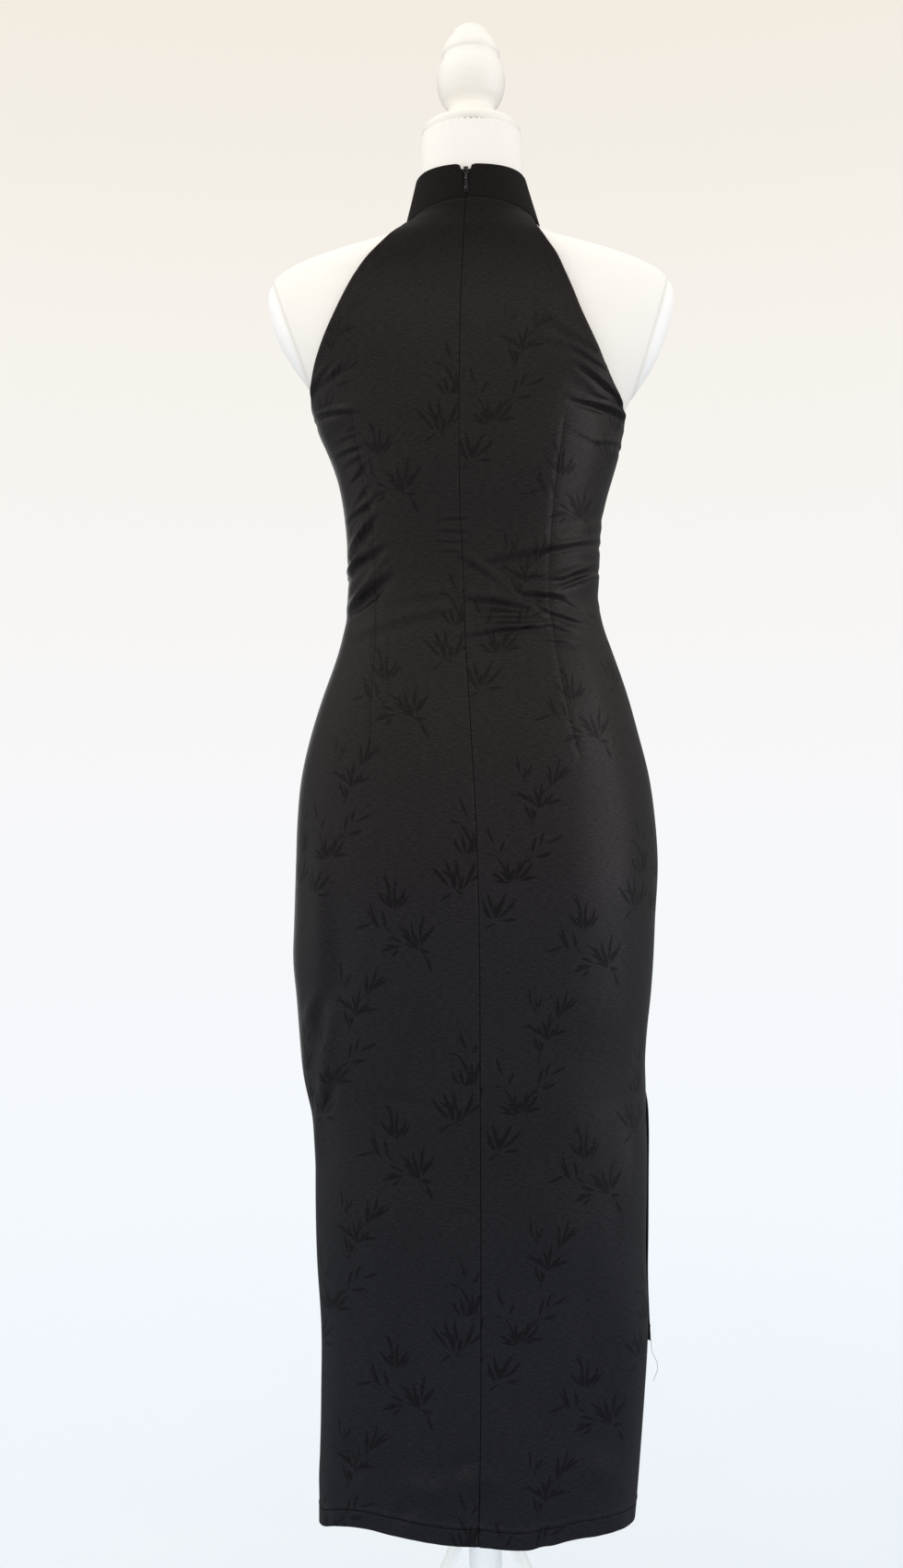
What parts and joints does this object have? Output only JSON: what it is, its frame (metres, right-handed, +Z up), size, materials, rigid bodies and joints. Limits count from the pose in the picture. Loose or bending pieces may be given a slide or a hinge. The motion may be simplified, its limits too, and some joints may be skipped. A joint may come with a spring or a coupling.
{
  "type": "halter cheongsam dress on a dress form",
  "caption": "Sleeveless halter-neck black satin cheongsam with a stand collar, back zip and side slits, worn by a limbless dress form on a tripod stand.",
  "frame": {"origin": "on the floor, midway across the whole part's width and depth", "axes": "+Z up; the dress's front faces -Y and its zipped back faces +Y; the wearer's left is +X"},
  "size_m": [0.4012, 0.3492, 1.6975],
  "materials": {
    "satin": "black silk satin with a tonal woven leaf pattern",
    "zip_cloth": "matt black woven tape",
    "zip_metal": "black enamel, worn bright at the eye",
    "jersey": "off-white stretch jersey",
    "painted_wood": "white satin paint"
  },
  "bodies": {
    "dress_and_form": {"front": "satin", "back_left": "satin", "back_right": "satin", "collar": "satin", "zip_tape": "zip_cloth", "zip_slider": "zip_metal", "form_torso": "jersey", "form_neck_plate": "painted_wood", "form_knob": "painted_wood", "stand_pole": "painted_wood", "stand_hub": "painted_wood", "stand_leg_front": "painted_wood", "stand_leg_left": "painted_wood", "stand_leg_right": "painted_wood"},
    "pull_tab": {"zip_pull": "zip_metal"}
  },
  "joints": [
    {"name": "pull_tab_hinge", "type": "hinge", "parent": "dress_and_form", "child": "pull_tab", "pos_m": [0.00646, 0.11419, 1.53581], "axis": [1, 0, 0], "range_deg": [0, 150]}
  ]
}
